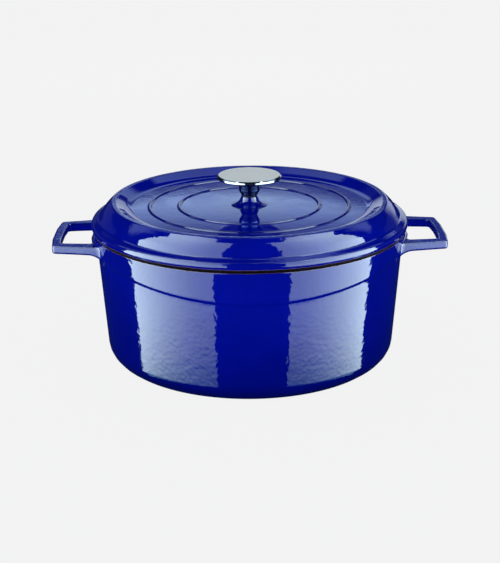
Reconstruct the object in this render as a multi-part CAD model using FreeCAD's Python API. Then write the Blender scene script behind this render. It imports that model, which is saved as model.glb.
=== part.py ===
"""Enamelled cast-iron round dutch oven, 28 cm, with a loose lid and a screwed metal knob.

Every piece is one closed solid in its own STEP file. Millimetres, +Z up, origin on the surface that
the pot stands on, under the middle of its base. X runs from handle to handle.
"""
import FreeCAD
import Part

import math
import os

from FreeCAD import Vector

# ---- driving dimensions: pot ----
POT_HEIGHT = 125.6
WALL_TOP_R = 142.8
WALL_BASE_R = 133.6
WALL = 3.7
BASE = 4.8
FOOT_RECESS = 0.8
FOOT_RECESS_R = 95.0
BASE_CORNER_R = 17.5
INNER_CORNER_R = 16.0
RIM_BARE_HEIGHT = 3.0
RIM_BARE_STEP = 1.6

# ---- driving dimensions: raised band above the curved crease ----
BAND_PROUD = 1.2
CREASE_FRONT_Z = 92.6
CREASE_RISE = 12.9

# ---- driving dimensions: loop handles ----
HANDLE_TOP_Z = 117.2
HANDLE_THICK = 8.0
HANDLE_CORNER_X = 179.3
HANDLE_CROWN = 4.0
HANDLE_HALF_WIDTH = 39.4
HANDLE_BAR = 7.3
HANDLE_ROOT_X = 141.0
HANDLE_ROOT_HALF = 46.6
HOLE_INNER_R = 146.0
HOLE_HALF_OUTER = 30.6
HOLE_HALF_INNER = 33.2
HANDLE_EDGE_R = 1.8
HANDLE_CORNER_R = 3.2
HANDLE_SIDE_R = 16.0
CROWN_R = 320.0
HOLE_CORNER_R = 3.5
HOLE_WALL_CORNER_R = 4.0
HOLE_LEAN_DEG = 10.0
ROOT_FILLET_BELOW = 10.0
ROOT_FILLET_ABOVE = 3.0

# ---- driving dimensions: lid ----
LID_GAP = 0.3
LID_R = 146.6
LID_LIP_Z = 128.9
LIP_DROP = 1.3
LIP_INNER_R = 142.9
LID_RIM_Z = 148.9
LID_RIM_R = 127.4
TRAY_Z = 142.4
TRAY_R = 112.0
LID_THICK = 4.0
BEAD_RADII = (64.8, 92.0)
BEAD_HALF_WIDTH = 1.9
BEAD_HEIGHT = 1.2
RING_OUTER_R = 137.9
RING_INNER_R = 134.2
RING_DEPTH = 5.0
DRIP_RADII = (98.0, 58.0)

# ---- driving dimensions: knob and its fastening ----
BOSS_TOP_Z = 151.4
BOSS_R = 7.4
BOSS_WAIST_R = 9.3
BOSS_WAIST_HEIGHT = 3.2
BOSS_FLARE_R = 8.0
BOSS_FOOT_R = 16.1
BOSS_FOOT_HEIGHT = 0.5
SCREW_HOLE_R = 3.4
GASKET_THICK = 0.6
GASKET_R = 6.9
COLLAR_TOP_Z = 165.4
COLLAR_FOOT_R = 7.2
COLLAR_R = 9.7
COLLAR_WIDEST = 4.6
COLLAR_NECK_R = 9.5
COLLAR_FLARE = 3.6
COLLAR_MOUTH_R = 12.4
BORE_CAP = 3.2
KNOB_TOP_Z = 171.1
KNOB_R = 29.9
KNOB_RIM = 2.9
BOWL_R = 26.5
BOWL_DEPTH = 1.3
BOWL_FLAT_R = 14.0
SPIGOT_R = 6.0
SPIGOT_HEIGHT = 3.0
SCREW_R = 3.0
SCREW_LENGTH = 25.0
SCREW_HEAD_R = 5.8
SCREW_HEAD_HEIGHT = 3.4
RECESS_WIDTH = 1.1
RECESS_LENGTH = 6.2
RECESS_DEPTH = 1.9
FLAT_WASHER_R = 8.0
FLAT_WASHER_THICK = 1.2
LOCK_WASHER_R = 5.2
LOCK_WASHER_THICK = 1.5
LOCK_WASHER_CUT = 1.0
SEAT_PAD_R = 12.5
SEAT_PAD_DEPTH = 0.6

AXIS = Vector(0, 0, 1)
ORIGIN = Vector(0, 0, 0)


def outline(corners, place):
    """Closed wire through corners (a, b, radius): straight runs joined by tangent arcs.

    place turns a flat (a, b) into a point in space.
    """
    count = len(corners)
    starts, ends, middles = [], [], []
    for i, (a, b, radius) in enumerate(corners):
        here = Vector(a, b, 0)
        if radius == 0:
            starts.append(here)
            ends.append(here)
            middles.append(None)
            continue
        before = Vector(*corners[i - 1][:2], 0)
        after = Vector(*corners[(i + 1) % count][:2], 0)
        back = (before - here).normalize()
        forth = (after - here).normalize()
        half = back.getAngle(forth) / 2
        centre = here + (back + forth).normalize() * (radius / math.sin(half))
        starts.append(here + back * (radius / math.tan(half)))
        ends.append(here + forth * (radius / math.tan(half)))
        middles.append(centre + (here - centre).normalize() * radius)
    edges = []
    for i in range(count):
        if middles[i] is not None:
            arc = Part.Arc(place(starts[i]), place(middles[i]), place(ends[i]))
            edges.append(arc.toShape())
        following = starts[(i + 1) % count]
        if ends[i].distanceToPoint(following) > 1e-6:
            edges.append(Part.LineSegment(place(ends[i]), place(following)).toShape())
    return Part.Wire(Part.__sortEdges__(edges))


def turned(corners, angle=360.0):
    """Solid of revolution about Z from corners (radius, height, corner rounding)."""
    face = Part.Face(outline(corners, lambda p: Vector(p.x, 0, p.y)))
    solid = face.revolve(ORIGIN, AXIS, angle)
    if angle < 360.0:
        solid.rotate(ORIGIN, AXIS, -angle / 2)
    return solid


def prism(corners, z_low, z_high):
    """Upright solid over a plan outline of corners (x, y, rounding)."""
    face = Part.Face(outline(corners, lambda p: Vector(p.x, p.y, z_low)))
    return face.extrude(Vector(0, 0, z_high - z_low))


def washer(inner_r, outer_r, z_low, thick):
    """Flat ring with lightly broken edges."""
    edge = min(0.2, thick / 4)
    z_high = z_low + thick
    return turned(
        [(inner_r, z_low, 0), (outer_r, z_low, edge), (outer_r, z_high, edge), (inner_r, z_high, 0)]
    )


def wall_r(z):
    """Outer radius of the plain tapered wall at a height."""
    return WALL_BASE_R + (WALL_TOP_R - WALL_BASE_R) * z / POT_HEIGHT


def pot_blank():
    """Outside of the pot without handles, solid right through."""
    blue_top = POT_HEIGHT - RIM_BARE_HEIGHT
    return turned(
        [
            (0, FOOT_RECESS, 0),
            (FOOT_RECESS_R - FOOT_RECESS, FOOT_RECESS, 0),
            (FOOT_RECESS_R, 0, 0),
            (wall_r(0), 0, BASE_CORNER_R),
            (wall_r(blue_top), blue_top, 0),
            (wall_r(POT_HEIGHT) - RIM_BARE_STEP, POT_HEIGHT, 0.8),
            (0, POT_HEIGHT, 0),
        ]
    )


def pot_cavity():
    """Inside of the pot, open past the rim, with the mouth edge broken."""
    top = POT_HEIGHT + 1.0
    mouth = 0.8
    return turned(
        [
            (0, BASE, 0),
            (wall_r(BASE) - WALL, BASE, INNER_CORNER_R),
            (wall_r(POT_HEIGHT) - WALL, POT_HEIGHT - mouth, 0),
            (wall_r(POT_HEIGHT) - WALL + mouth, POT_HEIGHT, 0),
            (wall_r(POT_HEIGHT) - WALL + mouth, top, 0),
            (0, top, 0),
        ]
    )


def raised_band():
    """Ring that stands proud above the crease.

    The crease rises towards the handles, so the ring is cut below by a wide cylinder along Y.
    """
    low = CREASE_FRONT_Z - 2.0
    blue_top = POT_HEIGHT - RIM_BARE_HEIGHT
    inside = wall_r(low) - WALL / 2
    ring = turned(
        [
            (inside, low, 0),
            (wall_r(low) + BAND_PROUD, low, 0),
            (wall_r(blue_top) + BAND_PROUD, blue_top, 0.6),
            (wall_r(blue_top) - RIM_BARE_STEP / 2, blue_top + RIM_BARE_HEIGHT / 2, 0),
            (inside, blue_top + RIM_BARE_HEIGHT / 2, 0),
        ]
    )
    radius = (WALL_TOP_R**2 + CREASE_RISE**2) / (2 * CREASE_RISE)
    length = 2.2 * WALL_TOP_R
    start = Vector(0, -length / 2, CREASE_FRONT_Z + radius)
    return ring.common(Part.makeCylinder(radius, length, start, Vector(0, 1, 0)))


def handle_plan():
    """Plan of one handle on the +X side, out of the wall and round its crowned outer bar."""
    buried_x = HANDLE_ROOT_X - 13.0
    buried_half = HANDLE_ROOT_HALF + 13.4
    side = [
        (buried_x, buried_half, 0),
        (HANDLE_ROOT_X, HANDLE_ROOT_HALF, HANDLE_SIDE_R),
        (HANDLE_CORNER_X, HANDLE_HALF_WIDTH, HANDLE_CORNER_R),
    ]
    crown = [(HANDLE_CORNER_X + HANDLE_CROWN, 0, CROWN_R)]
    return [(x, -y, r) for x, y, r in side] + crown + side[::-1]


def hole_plan():
    """Plan of the finger hole between the outer bar and the wall."""
    outer_x = HANDLE_CORNER_X - HANDLE_BAR
    lean = math.radians(HOLE_LEAN_DEG)
    wall_x = HOLE_INNER_R / math.cos(lean)
    inner_x = wall_x - HOLE_HALF_INNER * math.tan(lean)
    side = [(inner_x, HOLE_HALF_INNER, HOLE_WALL_CORNER_R), (outer_x, HOLE_HALF_OUTER, HOLE_CORNER_R)]
    crown = [(outer_x + HANDLE_CROWN * 0.6, 0, CROWN_R)]
    return [(x, -y, r) for x, y, r in side] + crown + side[::-1] + [(wall_x, 0, HOLE_INNER_R)]


def handle():
    """One loop handle on the +X side: flat rounded plate, hollowed root and finger hole."""
    low = HANDLE_TOP_Z - HANDLE_THICK
    plate = prism(handle_plan(), low, HANDLE_TOP_Z)
    hole = prism(hole_plan(), low - 20, HANDLE_TOP_Z + 10)
    plate = plate.cut(hole)
    flat = [edge for edge in plate.Edges if edge.BoundBox.ZLength < 1e-6]
    plate = plate.makeFillet(HANDLE_EDGE_R, flat)
    wall = wall_r(HANDLE_TOP_Z) + BAND_PROUD
    below, above = ROOT_FILLET_BELOW, ROOT_FILLET_ABOVE
    root = turned(
        [
            (wall - WALL / 2, low - below * 1.2, 0),
            (wall - 0.9, low - below * 1.2, 0),
            (wall - 0.1, low, below),
            (wall + below * 1.2, low, 0),
            (wall + below * 1.2, low + 2, 0),
            (wall + above * 1.2, HANDLE_TOP_Z, 0),
            (wall, HANDLE_TOP_Z, above),
            (wall, HANDLE_TOP_Z + above * 1.2, 0),
            (wall - WALL / 2, HANDLE_TOP_Z + above * 1.2, 0),
        ],
        60.0,
    )
    root = root.common(prism(handle_plan(), low - 20, HANDLE_TOP_Z + 10)).cut(hole)
    return plate.fuse(root).removeSplitter()


def pot():
    """Pot casting: tapered wall, flat base, raised band and two loop handles in one."""
    right = handle()
    left = right.copy()
    left.rotate(ORIGIN, AXIS, 180)
    outside = pot_blank().fuse(raised_band()).removeSplitter()
    return outside.fuse(right).fuse(left).cut(pot_cavity()).removeSplitter()


def bead_corners(radius, level, height):
    """Half-round ring on a level face, as profile corners from the inside to the outside.

    A negative height makes a ring that hangs below the face, from the outside to the inside.
    """
    half = math.copysign(BEAD_HALF_WIDTH, height)
    peak = level + height
    return [
        (radius - half, level, 0.8),
        (radius - half * 0.45, peak, 0.7),
        (radius + half * 0.45, peak, 0.7),
        (radius + half, level, 0.8),
    ]


def lid():
    """Lid casting: boss, tray with two beads, sloped side, rolled lip, locating ring, drip rings."""
    seat = POT_HEIGHT + LID_GAP
    under = TRAY_Z - LID_THICK
    top = [
        (SCREW_HOLE_R, BOSS_TOP_Z, 0),
        (BOSS_R, BOSS_TOP_Z, 0.8),
        (BOSS_WAIST_R, TRAY_Z + BOSS_WAIST_HEIGHT, BOSS_FLARE_R),
        (BOSS_FOOT_R, TRAY_Z + BOSS_FOOT_HEIGHT, 0.3),
        (BOSS_FOOT_R + BOSS_FOOT_HEIGHT, TRAY_Z, 0),
        *[corner for radius in BEAD_RADII for corner in bead_corners(radius, TRAY_Z, BEAD_HEIGHT)],
        (TRAY_R, TRAY_Z, 14.0),
        (LID_RIM_R - 4.6, LID_RIM_Z, 2.4),
        (LID_RIM_R - 0.2, LID_RIM_Z, 2.6),
        (LID_RIM_R + 6.4, LID_RIM_Z - 6.2, 30.0),
        (LID_R - 7.4, LID_LIP_Z + 5.4, 3.0),
        (LID_R - 1.6, LID_LIP_Z + 3.2, 2.6),
        (LID_R, LID_LIP_Z, 2.4),
        (LID_R - 1.4, seat - LIP_DROP, 1.4),
        (LIP_INNER_R + 0.4, seat - LIP_DROP, 0.5),
        (LIP_INNER_R, seat, 0.3),
    ]
    below = [
        (RING_OUTER_R, seat, 0.6),
        (RING_OUTER_R, seat - RING_DEPTH, 1.2),
        (RING_INNER_R, seat - RING_DEPTH, 1.2),
        (RING_INNER_R - 0.6, seat + 6.0, 6.0),
        (LID_RIM_R - 2.8, LID_RIM_Z - 5.2, 4.0),
        (LID_RIM_R - 6.4, LID_RIM_Z - 5.2, 4.0),
        (TRAY_R + 2.0, under, 14.0),
        *[corner for radius in DRIP_RADII for corner in bead_corners(radius, under, -BEAD_HEIGHT)],
        (SEAT_PAD_R + SEAT_PAD_DEPTH, under, 0),
        (SEAT_PAD_R, under - SEAT_PAD_DEPTH, 0),
        (SCREW_HOLE_R, under - SEAT_PAD_DEPTH, 0),
    ]
    return turned(top + below)


def knob_collar():
    """Tulip-shaped collar, with a blind screw bore and a spigot for the disc."""
    low = BOSS_TOP_Z + GASKET_THICK
    spigot_top = COLLAR_TOP_Z + SPIGOT_HEIGHT
    bore_top = COLLAR_TOP_Z - BORE_CAP
    return turned(
        [
            (0, bore_top, 0),
            (SCREW_R, bore_top, 0),
            (SCREW_R, low, 0),
            (COLLAR_FOOT_R, low, 0.4),
            (COLLAR_R, low + COLLAR_WIDEST, 4.0),
            (COLLAR_NECK_R, COLLAR_TOP_Z - COLLAR_FLARE, 3.0),
            (COLLAR_MOUTH_R, COLLAR_TOP_Z, 0),
            (SPIGOT_R, COLLAR_TOP_Z, 0),
            (SPIGOT_R, spigot_top, 0.4),
            (0, spigot_top, 0),
        ]
    )


def knob_disc():
    """Flat-topped steel disc with a rolled edge and a shallow bowl-shaped underside."""
    socket_top = COLLAR_TOP_Z + SPIGOT_HEIGHT
    return turned(
        [
            (0, socket_top, 0),
            (SPIGOT_R, socket_top, 0),
            (SPIGOT_R, COLLAR_TOP_Z, 0),
            (BOWL_FLAT_R, COLLAR_TOP_Z, 20.0),
            (BOWL_R, COLLAR_TOP_Z + BOWL_DEPTH, 5.0),
            (KNOB_R, KNOB_TOP_Z - KNOB_RIM, 0.9),
            (KNOB_R - 0.5, KNOB_TOP_Z, 0.7),
            (0, KNOB_TOP_Z, 0),
        ]
    )


def knob_screw():
    """Pan-head machine screw with a cross recess, entered from under the lid."""
    under = TRAY_Z - LID_THICK - SEAT_PAD_DEPTH
    bearing = under - FLAT_WASHER_THICK - LOCK_WASHER_THICK
    bottom = bearing - SCREW_HEAD_HEIGHT
    tip = bearing + SCREW_LENGTH
    body = turned(
        [
            (0, bottom, 0),
            (SCREW_HEAD_R, bottom, 2.4),
            (SCREW_HEAD_R, bearing, 0.2),
            (SCREW_R, bearing, 0),
            (SCREW_R, tip - 0.8, 0),
            (SCREW_R - 0.8, tip, 0),
            (0, tip, 0),
        ]
    )
    for across, along in ((RECESS_LENGTH, RECESS_WIDTH), (RECESS_WIDTH, RECESS_LENGTH)):
        corner = Vector(-across / 2, -along / 2, bottom)
        body = body.cut(Part.makeBox(across, along, RECESS_DEPTH, corner))
    return body


def lock_washer():
    """Spring washer with its cut."""
    under = TRAY_Z - LID_THICK - SEAT_PAD_DEPTH
    low = under - FLAT_WASHER_THICK - LOCK_WASHER_THICK
    ring = washer(SCREW_R + 0.15, LOCK_WASHER_R, low, LOCK_WASHER_THICK)
    return ring.cut(Part.makeBox(8, LOCK_WASHER_CUT, 4, Vector(0, -LOCK_WASHER_CUT / 2, low - 1)))


def flat_washer():
    """Plain washer between the spring washer and the lid."""
    under = TRAY_Z - LID_THICK - SEAT_PAD_DEPTH
    return washer(SCREW_R + 0.2, FLAT_WASHER_R, under - FLAT_WASHER_THICK, FLAT_WASHER_THICK)


def knob_gasket():
    """Heat-proof ring between the metal collar and the enamelled boss."""
    return washer(SCREW_R + 0.2, GASKET_R, BOSS_TOP_Z, GASKET_THICK)


PIECES = {
    "pot": pot,
    "lid": lid,
    "knob_disc": knob_disc,
    "knob_collar": knob_collar,
    "knob_gasket": knob_gasket,
    "knob_screw": knob_screw,
    "flat_washer": flat_washer,
    "lock_washer": lock_washer,
}

os.makedirs("parts", exist_ok=True)
for name, make in PIECES.items():
    shape = make()
    box = shape.BoundBox
    print(
        f"{name}: valid {shape.isValid()}, solids {len(shape.Solids)}, volume {shape.Volume / 1000:.2f} cm3,"
        f" X {box.XMin:.1f}..{box.XMax:.1f} Y {box.YMin:.1f}..{box.YMax:.1f} Z {box.ZMin:.1f}..{box.ZMax:.1f}"
    )
    shape.exportStep(f"parts/{name}.step")
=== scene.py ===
"""Looks of a round enamelled cast-iron dutch oven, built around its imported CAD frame.

The oven is two iron castings and a screwed steel knob. The pot, with its loop handles, and the lid, with
its boss, carry gloss cobalt enamel outside, pale enamel inside and matt black enamel where they meet.
Lengths in the classes are millimetres, in the frame's own axes; meshes are made in metres.
"""
import logging
import math
from dataclasses import dataclass, field
from enum import Enum

import bmesh
import bpy
import numpy as np
from mathutils import Matrix, Vector


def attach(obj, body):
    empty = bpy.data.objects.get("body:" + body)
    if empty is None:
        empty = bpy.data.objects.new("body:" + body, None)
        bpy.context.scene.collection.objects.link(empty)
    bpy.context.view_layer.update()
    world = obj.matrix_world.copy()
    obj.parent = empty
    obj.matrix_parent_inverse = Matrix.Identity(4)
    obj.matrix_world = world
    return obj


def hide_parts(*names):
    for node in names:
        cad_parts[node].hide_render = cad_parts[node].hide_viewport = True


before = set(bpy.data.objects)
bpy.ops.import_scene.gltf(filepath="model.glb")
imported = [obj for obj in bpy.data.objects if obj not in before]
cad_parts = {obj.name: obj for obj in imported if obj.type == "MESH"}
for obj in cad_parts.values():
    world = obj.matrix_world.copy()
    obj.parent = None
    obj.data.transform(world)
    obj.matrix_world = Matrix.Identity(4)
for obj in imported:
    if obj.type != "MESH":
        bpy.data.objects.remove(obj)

MM = 0.001
LOG = logging.getLogger("dutch_oven")
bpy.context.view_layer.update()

Corner = tuple[float, float, float]
Colour = tuple[float, float, float, float]
Array = np.ndarray
Span = tuple[float, float] | Array
Object = bpy.types.Object
Tree = bpy.types.NodeTree
Node = bpy.types.Node
Socket = bpy.types.NodeSocket
Value = Socket | float

EVEN_GLOSS: Colour = (0.5, 0.5, 0.5, 1)


# ---- surfaces


@dataclass
class Shell:
    """A surface on a grid: rows run along a profile and columns carry it round.

    Attributes:
        points: array (rows, columns, 3) in millimetres.
        ring: whether the rows close into a loop, as round a washer's section.
        edge: how thin the coat runs over each row's edge, 0 to 1, one value per row or per point.
        run: distance along the profile in millimetres, one value per row or per point.
    """

    points: Array
    ring: bool = False
    edge: Array | float = 0.0
    run: Array | float = 0.0

    def attribute(self, value: Array | float) -> Array:
        """Spread a row or point value over the whole grid."""
        value = np.asarray(value, float)
        return np.broadcast_to(value[:, None] if value.ndim == 1 else value, self.points.shape[:2]).ravel()

    def faces(self, first: int) -> Array:
        """Quads of the grid, turned so that they face outwards.

        Args:
            first: index of this shell's first vertex in the whole mesh.

        Returns:
            Array (faces, 4). A quad at a pole repeats a corner, which merging turns into a triangle.
        """
        rows, columns = self.points.shape[:2]
        index = np.arange(rows * columns).reshape(rows, columns)
        index = np.hstack([index, index[:, :1]])
        if self.ring:
            index = np.vstack([index, index[:1]])
        quads = np.stack([index[:-1, :-1], index[:-1, 1:], index[1:, 1:], index[1:, :-1]], axis=-1)
        quads = quads.reshape(-1, 4)
        flat = self.points.reshape(-1, 3)
        a, b, c, d = (flat[quads[:, i]] for i in range(4))
        volume = np.einsum("ij,ij->", a, np.cross(b, c)) + np.einsum("ij,ij->", a, np.cross(c, d))
        return first + (quads if volume > 0 else quads[:, ::-1])


def outline(corners: list[Corner], spacing: float, ring: bool = False) -> tuple[Array, Array]:
    """Profile of straight runs joined by tangent arcs.

    With rounding r and half angle h between two runs, the arc starts r / tan(h) from the corner, and its
    centre lies r / sin(h) along the bisector.

    Args:
        corners: (across, up, rounding) in millimetres.
        spacing: longest step along a straight run.
        ring: whether the last corner joins the first.

    Returns:
        The points (n, 2), and how sharply each turns, from 0 on a run to 1 on an arc under 1 mm.
    """
    spots = np.array([corner[:2] for corner in corners], float)
    count = len(corners)
    arcs: list[Array] = []
    bends: list[float] = []
    for i, (_, _, radius) in enumerate(corners):
        if radius == 0 or (not ring and i in (0, count - 1)):
            arcs.append(spots[i : i + 1])
            bends.append(0.0)
            continue
        back = spots[i - 1] - spots[i]
        forth = spots[(i + 1) % count] - spots[i]
        back, forth = back / np.linalg.norm(back), forth / np.linalg.norm(forth)
        half = math.acos(np.clip(back @ forth, -1, 1)) / 2
        middle = (back + forth) / np.linalg.norm(back + forth)
        centre = spots[i] + middle * radius / math.sin(half)
        sweep = math.pi - 2 * half
        steps = max(3, math.ceil(math.degrees(sweep) / 15) + 1)
        start = spots[i] + back * radius / math.tan(half) - centre
        end = spots[i] + forth * radius / math.tan(half) - centre
        t = np.linspace(0, 1, steps)[:, None]
        arcs.append(centre + (np.sin((1 - t) * sweep) * start + np.sin(t * sweep) * end) / math.sin(sweep))
        bends.append(min(1.0, 1.0 / radius))
    pieces, turns = [], []
    for i in range(count):
        pieces.append(arcs[i])
        turns.append(np.full(len(arcs[i]), bends[i]))
        if i == count - 1 and not ring:
            break
        start, end = arcs[i][-1], arcs[(i + 1) % count][0]
        length = np.linalg.norm(end - start)
        hold = min(0.3, length / 3)
        if length > 0.05:
            even = np.linspace(hold, length - hold, max(2, math.ceil(length / spacing) + 1))
            pieces.append(start + (end - start) * even[:, None] / length)
            turns.append(np.zeros(len(even)))
    return np.vstack(pieces), np.concatenate(turns)


def travelled(profile: Array) -> Array:
    """Distance along a profile at each of its points."""
    return np.concatenate([[0.0], np.cumsum(np.linalg.norm(np.diff(profile, axis=0), axis=1))])


def nearest(points: Array, spot: Span) -> int:
    """Index of the point closest to a spot."""
    return int(np.argmin(np.linalg.norm(points - np.asarray(spot), axis=1)))


def swept(radial: Array, turn: Array, z: Array) -> Array:
    """Points at a radius from the axis, an angle round it and a height."""
    return np.stack(np.broadcast_arrays(radial * np.cos(turn), radial * np.sin(turn), z), -1)


def turned(corners: list[Corner], columns: int, spacing: float = 4.0, ring: bool = False) -> Shell:
    """Surface of revolution about Z: radius and height come from the profile, the angle from the column.

    Args:
        corners: (radius, height, rounding) of the profile.
        columns: steps round the axis.
        spacing: longest step along the profile's straight runs.
        ring: whether the profile closes on itself away from the axis.

    Returns:
        The closed surface.
    """
    profile, bend = outline(corners, spacing, ring)
    turn = np.linspace(0, 2 * np.pi, columns, endpoint=False)
    return Shell(swept(profile[:, :1], turn, profile[:, 1:]), ring, bend, travelled(profile))


def smooth(t: Array | float) -> Array:
    """Even S-shaped step from 0 to 1: three t squared less two t cubed."""
    t = np.clip(t, 0, 1)
    return t * t * (3 - 2 * t)


def placed(name: str, data: bpy.types.ID) -> Object:
    """Put a new object into the scene.

    Args:
        name: the object's name.
        data: its mesh, light or camera.

    Returns:
        The object, at the origin.
    """
    obj = bpy.data.objects.new(name, data)
    bpy.context.scene.collection.objects.link(obj)
    return obj


def piece(name: str, shells: list[Shell], body: str, slot: str, *nodes: str) -> Object:
    """Make one object of some shells, hang it on its body and hide the CAD nodes that it stands for.

    Args:
        name: the piece's name.
        shells: its surfaces.
        body: the CAD body that it rides on.
        slot: the material slot; not used.
        nodes: the CAD nodes that it stands for.

    Returns:
        The object.
    """
    starts = np.cumsum([0] + [shell.points[..., 0].size for shell in shells])
    points = np.vstack([shell.points.reshape(-1, 3) for shell in shells]) * MM
    faces = np.vstack([shell.faces(start) for shell, start in zip(shells, starts)])
    mesh = bpy.data.meshes.new(name)
    mesh.from_pydata(points, [], faces)
    for title in ("edge", "run"):
        values = np.concatenate([shell.attribute(getattr(shell, title)) for shell in shells])
        layer = mesh.attributes.new(title, "FLOAT", "POINT")
        layer.data.foreach_set("value", values.astype(np.float32))
    obj = placed(name, mesh)
    merge_poles(mesh)
    mesh.shade_smooth()
    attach(obj, body)
    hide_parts(*nodes)
    LOG.info("%s: %d vertices, %d faces, on %s", name, len(mesh.vertices), len(mesh.polygons), body)
    return obj


def merge_poles(mesh: bpy.types.Mesh) -> None:
    """Join the points that meet on an axis, and drop what has no area.

    Args:
        mesh: the mesh, changed in place.
    """
    work = bmesh.new()
    work.from_mesh(mesh)
    bmesh.ops.remove_doubles(work, verts=work.verts, dist=1e-7)
    bmesh.ops.dissolve_degenerate(work, edges=work.edges, dist=1e-9)
    work.to_mesh(mesh)
    work.free()


# ---- finishes


def linear(code: str) -> Colour:
    """An sRGB hex colour as linear RGBA."""
    channels = [int(code[i : i + 2], 16) / 255 for i in (1, 3, 5)]
    return (*[c / 12.92 if c <= 0.04045 else ((c + 0.055) / 1.055) ** 2.4 for c in channels], 1.0)


def per_metre(millimetres: float) -> float:
    """Texture scale whose pattern repeats about every so many millimetres."""
    return 1000.0 / millimetres


def add(tree: Tree, kind: str, inputs: dict | None = None, **settings: str | bool) -> Node:
    """Add a node with its inputs and its settings.

    Args:
        tree: the material's or world's node tree.
        kind: the node's type name, without the ShaderNode in front.
        inputs: values, or sockets to link, by the input's name or number.
        settings: attributes of the node.

    Returns:
        The node.
    """
    made = tree.nodes.new("ShaderNode" + kind)
    for key, value in settings.items():
        setattr(made, key, value)
    feed(tree, made, inputs or {})
    return made


def feed(tree: Tree, node: Node, inputs: dict) -> None:
    """Set or link the inputs of a node.

    Args:
        tree: the node's tree.
        node: the node.
        inputs: values, or sockets to link, by the input's name or number.
    """
    for key, value in inputs.items():
        if isinstance(value, Socket):
            tree.links.new(value, node.inputs[key])
        else:
            node.inputs[key].default_value = value


def blended(tree: Tree, share: Value, low: Value | Colour, high: Value | Colour) -> Socket:
    """Colour that goes from low to high as share goes from 0 to 1, and on past them outside that."""
    mix = add(tree, "Mix", {"Factor": share, "A": low, "B": high}, data_type="RGBA", clamp_factor=False)
    return mix.outputs["Result"]


def ranged(tree: Tree, value: Value, span: Span, to: Span) -> Socket:
    """Map a number smoothly from one span to another, and hold it at the ends.

    Args:
        tree: the node tree.
        value: the number.
        span: the two values between which it counts.
        to: what they become.

    Returns:
        The mapped number.
    """
    ends = {"From Min": span[0], "From Max": span[1], "To Min": to[0], "To Max": to[1]}
    node = add(tree, "MapRange", {"Value": value, **ends}, interpolation_type="SMOOTHSTEP")
    return node.outputs["Result"]


def summed(tree: Tree, first: Value, second: Value, scale: float = 1.0) -> Socket:
    """The first value plus the second one times scale."""
    return add(tree, "Math", {0: second, 1: scale, 2: first}, operation="MULTIPLY_ADD").outputs[0]


def product(tree: Tree, first: Value, *others: Value) -> Socket:
    """Multiply values together.

    Args:
        tree: the node tree.
        first: the first value.
        others: the rest.

    Returns:
        The product.
    """
    for other in others:
        first = add(tree, "Math", {0: first, 1: other}, operation="MULTIPLY").outputs[0]
    return first


def noise(tree: Tree, size: float, detail: float = 2.0, vector: Value | None = None) -> Socket:
    """Soft random pattern with features of about a size in millimetres, from 0 to 1."""
    inputs = {"Vector": vector or add(tree, "TexCoord").outputs["Object"], "Scale": per_metre(size)}
    return add(tree, "TexNoise", {**inputs, "Detail": detail}).outputs[0]


class Finish:
    """A finish that makes its own material once."""

    title: str

    def material(self) -> bpy.types.Material:
        """Find the material, or make it on the first call.

        Returns:
            The material.
        """
        made = bpy.data.materials.get(self.title)
        if made is None:
            made = bpy.data.materials.new(self.title)
            made.use_nodes = True
            self.dress(made.node_tree, made.node_tree.nodes["Principled BSDF"])
        return made

    def dress(self, tree: Tree, shader: Node) -> None:
        """Set the shader's sockets and link its patterns, in the material's tree."""
        raise NotImplementedError

    def put_on(self, *objects: Object) -> None:
        """Give objects this finish alone."""
        for obj in objects:
            obj.data.materials.clear()
            obj.data.materials.append(self.material())


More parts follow.
